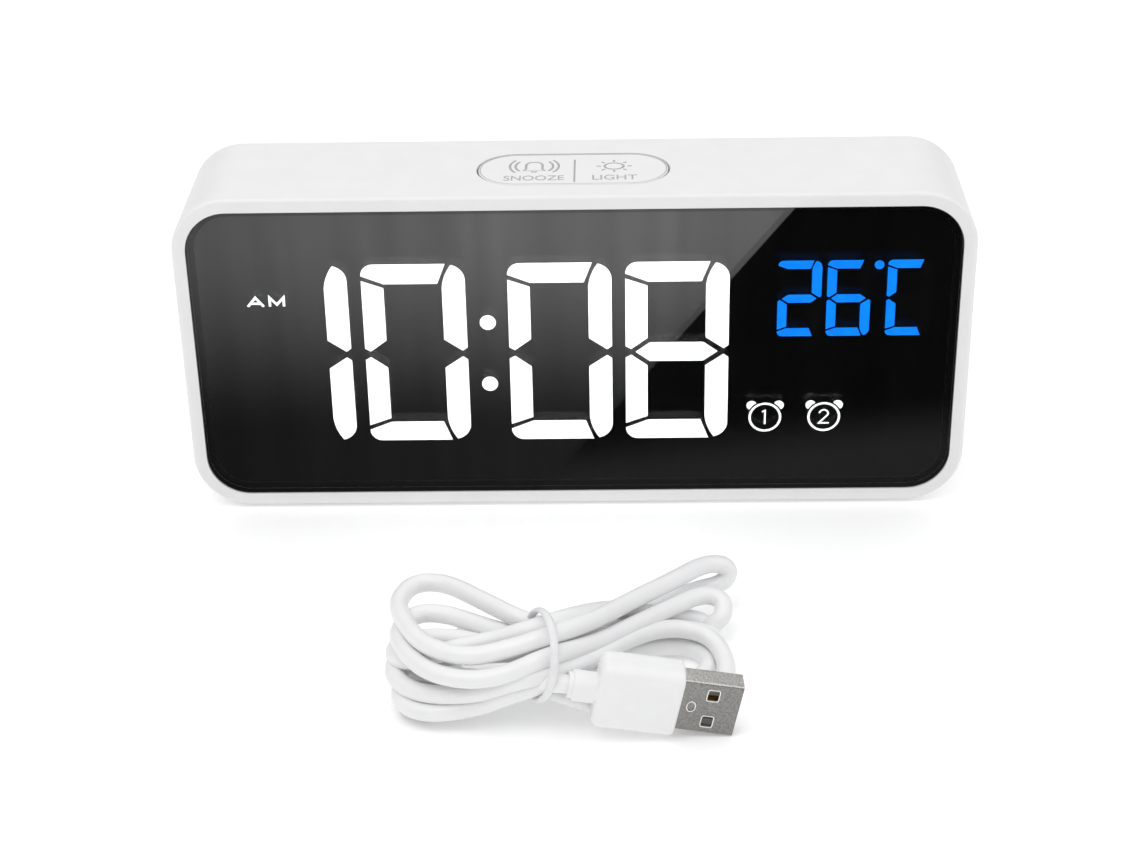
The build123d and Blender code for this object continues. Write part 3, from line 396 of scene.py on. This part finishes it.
def finish(name, colour, rough=0.4, metal=0.0, mottle=0.04, patch=2.0, grain=0.25, relief=0.01,
           rough_spread=0.06, **sockets):
    """A material whose colour drifts over patches and whose skin has a fine grain, sizes in mm."""
    material, tree, skin = new_skin(name)
    skin.inputs["Metallic"].default_value = metal
    for socket, value in sockets.items():
        skin.inputs[socket.replace("_", " ")].default_value = value
    place = coordinate(tree, "Object")

    patches = noise(tree, place, 1 / (patch * MM), detail=4)
    shades = tree.nodes.new("ShaderNodeValToRGB")
    shades.color_ramp.elements[0].position = 0.3
    shades.color_ramp.elements[1].position = 0.7
    shades.color_ramp.elements[0].color = (*[c * (1 - mottle) for c in colour], 1)
    shades.color_ramp.elements[1].color = (*[min(1, c * (1 + mottle)) for c in colour], 1)
    tree.links.new(patches, shades.inputs["Fac"])
    tree.links.new(shades.outputs["Color"], skin.inputs["Base Color"])

    spread = (max(0, rough - rough_spread), min(1, rough + rough_spread))
    tree.links.new(ranged(tree, patches, (0, 1), spread), skin.inputs["Roughness"])

    grains = noise(tree, place, 1 / (grain * MM))
    bump = tree.nodes.new("ShaderNodeBump")
    bump.inputs["Distance"].default_value = relief * MM
    bump.inputs["Strength"].default_value = BUMP_STRENGTH
    tree.links.new(grains, bump.inputs["Height"])
    tree.links.new(bump.outputs["Normal"], skin.inputs["Normal"])
    return material


def painted_top_light(material, times):
    """Painted light from above: faces that look up get a colour that many times brighter, standing
    in for the lamps' light on them.
    """
    tree = material.node_tree
    skin = tree.nodes["Principled BSDF"]
    colour = skin.inputs["Base Color"].links[0].from_socket
    normal = tree.nodes.new("ShaderNodeNewGeometry").outputs["Normal"]
    top_light_gain = ranged(tree, part_of(tree, normal, "Z"), (0.4, 0.8), (1, times), smooth=True)
    scale = tree.nodes.new("ShaderNodeVectorMath")
    scale.operation = "SCALE"
    tree.links.new(colour, scale.inputs[0])
    tree.links.new(top_light_gain, scale.inputs["Scale"])
    tree.links.new(scale.outputs["Vector"], skin.inputs["Base Color"])


def glow(name, colour, strength, patch=6.0, drift=0.08):
    """A lit diffuser: a little brighter and dimmer from place to place."""
    material = finish(name, colour, rough=0.5)
    tree = material.node_tree
    skin = tree.nodes["Principled BSDF"]
    drifts = noise(tree, coordinate(tree, "Object"), 1 / (patch * MM))
    level = ranged(tree, drifts, (0, 1), (strength * (1 - drift), strength * (1 + drift)))
    skin.inputs["Emission Color"].default_value = (*colour, 1)
    tree.links.new(level, skin.inputs["Emission Strength"])
    return material


def half_mirror():
    """Smoked half-silvered acrylic, part mirror and part window, with its cut sides blackened."""
    material, tree, skin = new_skin("smoked_half_mirror")
    skin.inputs["Roughness"].default_value = 0.008
    skin.inputs["Specular IOR Level"].default_value = 0
    facing = tree.nodes.new("ShaderNodeMath")
    facing.operation = "ABSOLUTE"
    tree.links.new(part_of(tree, coordinate(tree, "Normal"), "Y"), facing.inputs[0])
    for socket, on_side, on_face in (("Base Color", 0.008, 0.28), ("Metallic", 0, 1),
                                     ("Alpha", 1, 0.38)):
        picked = ranged(tree, facing.outputs[0], (0.4, 0.6), (on_side, on_face))
        tree.links.new(picked, skin.inputs[socket])
    return material


SHELL_WHITE = (0.84, 0.84, 0.84)
LEAD_WHITE = (0.86, 0.86, 0.865)
case_white = finish("satin_case_white", SHELL_WHITE, rough=0.42, mottle=0.012, patch=6, grain=0.35,
                    relief=0.004)
button_white = finish("button_white", SHELL_WHITE, rough=0.4, mottle=0.012, patch=3, grain=0.3,
                      relief=0.003)
cord_white = finish("cord_white", LEAD_WHITE, rough=0.36, mottle=0.015, patch=4, grain=0.3,
                    relief=0.004, Coat_Weight=0.15, Coat_Roughness=0.35)
grip_white = finish("grip_white", LEAD_WHITE, rough=0.4, mottle=0.012, patch=3, grain=0.3,
                    relief=0.004)
tie_white = finish("tie_white", (0.8, 0.8, 0.81), rough=0.38, mottle=0.03, patch=1.5, grain=0.25)
ink_grey = finish("ink_grey", (0.42, 0.425, 0.43), rough=0.55, mottle=0.08, patch=0.8, grain=0.1,
                  relief=0.001)
black_film = finish("black_film", (0.006, 0.006, 0.007), rough=0.5, mottle=0.1, patch=5)
black_plastic = finish("black_plastic", (0.02, 0.02, 0.021), rough=0.45, mottle=0.15, patch=1.5,
                       grain=0.2, relief=0.01)
tape = finish("black_tape", (0.012, 0.012, 0.012), rough=0.8, mottle=0.08, patch=1, grain=0.3)
lit_white = glow("lit_white", (0.96, 0.98, 1.0), 3.6)
lit_blue = glow("lit_blue", (0.0, 0.22, 1.0), 2.6, patch=3, drift=0.3)
unlit_bar = finish("unlit_diffuser", (0.012, 0.012, 0.013), rough=0.6, mottle=0.1, patch=4)
led_body = finish("led_body", (0.75, 0.68, 0.35), rough=0.35, mottle=0.12, patch=0.6)
board_green = finish("board_green", (0.01, 0.13, 0.045), rough=0.3, mottle=0.25, patch=1.2,
                     grain=0.3, Coat_Weight=0.5)
chip_black = finish("chip_black", (0.022, 0.022, 0.024), rough=0.55, mottle=0.2, patch=0.8,
                    grain=0.12)
tin_can = finish("tin_can", (0.62, 0.62, 0.6), rough=0.28, metal=1, mottle=0.03, patch=3,
                 relief=0.001)
sleeve = finish("capacitor_sleeve", (0.02, 0.03, 0.09), rough=0.3, mottle=0.15, patch=1.5)
steel_screw = finish("steel_screw", (0.5, 0.5, 0.51), rough=0.3, metal=1, mottle=0.1, patch=0.7)
black_screw = finish("black_screw", (0.05, 0.05, 0.055), rough=0.35, metal=1, mottle=0.2, patch=0.6)
grey_ribbon = finish("grey_ribbon", (0.36, 0.36, 0.37), rough=0.5, mottle=0.12, patch=0.9)
socket_cream = finish("socket_cream", (0.72, 0.66, 0.5), rough=0.45, mottle=0.06, patch=1.2)
wire_sleeve = finish("wire_sleeve", (0.55, 0.03, 0.025), rough=0.4, mottle=0.12, patch=1.4)
contact_gold = finish("contact_gold", (0.78, 0.5, 0.18), rough=0.25, metal=1, mottle=0.08,
                      patch=0.8)
spring_steel = finish("spring_steel", (0.6, 0.6, 0.6), rough=0.25, metal=1, mottle=0.05, patch=0.9,
                      relief=0.002)
plug_metal = finish("stamped_plug_metal", (0.25, 0.245, 0.235), rough=0.36, metal=1, mottle=0.3,
                    patch=0.35, grain=0.15, relief=0.008, rough_spread=0.12)
# painted light: the plug's upward faces are painted 2.6 times brighter, as if lit from above
painted_top_light(plug_metal, 2.6)
rim_metal = finish("pressed_edge_metal", (0.85, 0.84, 0.82), rough=0.3, metal=1, mottle=0.06,
                   patch=0.4, grain=0.1, relief=0.002)
tongue_white = finish("tongue_white", (0.75, 0.75, 0.74), rough=0.45, mottle=0.04, patch=1)
foot_soft = finish("foot_soft", (0.6, 0.6, 0.6), rough=0.85, mottle=0.12, patch=0.8, grain=0.2,
                   relief=0.02)
bead_epoxy = finish("bead_epoxy", (0.02, 0.018, 0.02), rough=0.3, mottle=0.2, patch=0.7)

WEARS = {
    case_white: ["housing", "rear_cover", "battery_door"],
    button_white: ["snooze_light_button", "set_button", "down_button", "up_button", "alarm_button"],
    half_mirror(): ["mirror_panel"],
    black_film: ["mask_film"],
    black_plastic: ["light_box", "top_switches", "rear_switches", "buzzer"],
    tape: ["panel_tape"],
    lit_white: ["hour_tens_bars", "hour_units_bars", "minute_tens_bars", "minute_units_bars",
                "colon_dots", "am_marks", "alarm_marks"],
    lit_blue: ["temperature_bars"],
    unlit_bar: ["unlit_bars"],
    led_body: ["time_leds", "temperature_leds"],
    board_green: ["display_board", "rear_board", "top_board"],
    chip_black: ["clock_chip", "driver_chips"],
    tin_can: ["quartz_crystal", "backup_cell"],
    sleeve: ["capacitors"],
    steel_screw: ["board_screws", "rear_board_screws", "top_board_screws"],
    black_screw: ["cover_screws"],
    grey_ribbon: ["ribbon_cable"],
    socket_cream: ["ribbon_sockets"],
    wire_sleeve: ["switch_wires"],
    contact_gold: ["usb_contacts"],
    spring_steel: ["cell_contacts", "inlet_shell"],
    plug_metal: ["usb_shell", "far_shell"],
    tongue_white: ["usb_tongue", "inlet_tongue"],
    grip_white: ["usb_grip", "far_grip"],
    foot_soft: ["feet"],
    bead_epoxy: ["thermistor"],
    cord_white: ["cable_hank", "cable_lead"],
    tie_white: ["cable_tie"],
}
for material, names in WEARS.items():
    for name in names:
        for place in node[name].material_slots:
            place.material = material
for piece, material in ((lead, cord_white), (tie, tie_white), (window_rims, rim_metal),
                        (button_print, ink_grey)):
    piece.data.materials.clear()
    piece.data.materials.append(material)

# ---------------------------------------------------------------- stage
CARD_AHEAD, CARD_WIDER = 1.5 * MM, 4 * MM
SPLIT_TOP_X, SPLIT_FOOT_X = 48.5 * MM, -7.5 * MM  # the slanting line, at the mirror's top and foot
HORIZON, OVERHEAD = 0.3, 1.05
FLOOR_WIDE, FLOOR_GLOW = 20, 0.22


def add_floor():
    """The white table, which glows a little so that it stays white in the distance."""
    bpy.ops.object.select_all(action="DESELECT")
    bpy.ops.mesh.primitive_plane_add(size=FLOOR_WIDE)
    floor = bpy.context.active_object
    floor.name = floor.data.name = "floor"
    white = finish("floor_white", (0.9, 0.9, 0.9), rough=0.8, mottle=0.002, patch=40, grain=4,
                   relief=0.001, Emission_Color=(1, 1, 1, 1), Emission_Strength=FLOOR_GLOW)
    floor.data.materials.append(white)


def add_reflection_card():
    """What the mirror shows: a pale curtained part and a dark part, parted by a slanting line."""
    low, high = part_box("mirror_panel")
    bpy.ops.object.select_all(action="DESELECT")
    bpy.ops.mesh.primitive_plane_add(size=1)
    card = bpy.context.active_object
    card.name = card.data.name = "reflection_card"
    middle = ((low.x + high.x) / 2, low.y - CARD_AHEAD, (low.z + high.z) / 2)
    size = (high.x - low.x + CARD_WIDER, high.z - low.z + CARD_WIDER, 1, 1)
    card.matrix_world = (Matrix.Translation(middle) @ Matrix.Rotation(math.pi / 2, 4, "X")
                         @ Matrix.Diagonal(size))
    bpy.ops.object.transform_apply()
    card.visible_camera = False
    card.visible_diffuse = False
    card.visible_transmission = False
    card.visible_shadow = False
    card.visible_volume_scatter = False
    card.data.materials.append(reflected_room(low, high))


def reflected_room(low, high):
    """The card's light. Rise is 0 at the mirror's foot and 1 at its top."""
    material = bpy.data.materials.new("reflected_room")
    material.use_nodes = True
    tree = material.node_tree
    tree.nodes.clear()

    def worked(operation, *values):
        """The result of a sum on numbers and sockets."""
        step = tree.nodes.new("ShaderNodeMath")
        step.operation = operation
        for socket, value in zip(step.inputs, values):
            if isinstance(value, (int, float)):
                socket.default_value = value
            else:
                tree.links.new(value, socket)
        return step.outputs[0]

    def eased(value, source, target):
        return ranged(tree, value, source, target, smooth=True)

    place = coordinate(tree, "Object")
    x, z = part_of(tree, place, "X"), part_of(tree, place, "Z")
    stretched = tree.nodes.new("ShaderNodeMapping")
    stretched.inputs["Scale"].default_value = (160, 1, 9)
    tree.links.new(place, stretched.inputs["Vector"])
    folds = noise(tree, stretched.outputs["Vector"], 1, detail=3)

    rise = worked("DIVIDE", worked("SUBTRACT", z, low.z), high.z - low.z)
    edge = worked("MULTIPLY_ADD", rise, SPLIT_TOP_X - SPLIT_FOOT_X, SPLIT_FOOT_X)
    beyond = eased(worked("SUBTRACT", x, edge), (-0.2 * MM, 0.2 * MM), (0, 1))
    height = eased(rise, (0.2, 0.95), (0.075, 0.8))
    aside = eased(x, (-85 * MM, -10 * MM), (0.68, 1))
    pleats = worked("MULTIPLY_ADD", folds, 0.6, 0.7)
    curtain = worked("MULTIPLY", worked("MULTIPLY", height, aside), pleats)
    slant = worked("MULTIPLY_ADD", x, -1.6, rise)
    dark = worked("MULTIPLY_ADD", folds, 0.015, eased(slant, (0, 0.2), (0.085, 0.004)))
    light = worked("ADD", worked("MULTIPLY", curtain, worked("SUBTRACT", 1, beyond)),
                   worked("MULTIPLY", dark, beyond))
    lamp = tree.nodes.new("ShaderNodeEmission")
    lamp.inputs["Color"].default_value = (1, 1, 1, 1)
    tree.links.new(light, lamp.inputs["Strength"])
    out = tree.nodes.new("ShaderNodeOutputMaterial")
    tree.links.new(lamp.outputs[0], out.inputs["Surface"])
    return material


def add_lamp(name, at, size, power):
    """A square soft lamp that faces the clock."""
    lamp = bpy.data.lights.new(name, "AREA")
    lamp.size = size
    lamp.energy = power
    thing = placed(name, lamp)
    thing.location = at
    thing.rotation_euler = (-Vector(at)).to_track_quat("-Z", "Y").to_euler()


def add_room():
    """White surroundings, brightest overhead."""
    world = bpy.data.worlds.new("white_room")
    world.use_nodes = True
    tree = world.node_tree
    upward = part_of(tree, coordinate(tree, "Generated"), "Z")
    level = ranged(tree, upward, (0, 0.9), (HORIZON, OVERHEAD), smooth=True)
    tree.links.new(level, tree.nodes["Background"].inputs["Strength"])
    tree.nodes["Background"].inputs["Color"].default_value = (1, 1, 1, 1)
    bpy.context.scene.world = world


add_floor()
add_reflection_card()
add_lamp("high_front_lamp", (-0.3, -0.5, 1.2), 0.7, 3.2)
add_lamp("side_lamp", (0.9, -0.2, 0.7), 0.5, 0.8)
add_room()
bpy.context.scene.view_settings.view_transform = "Standard"
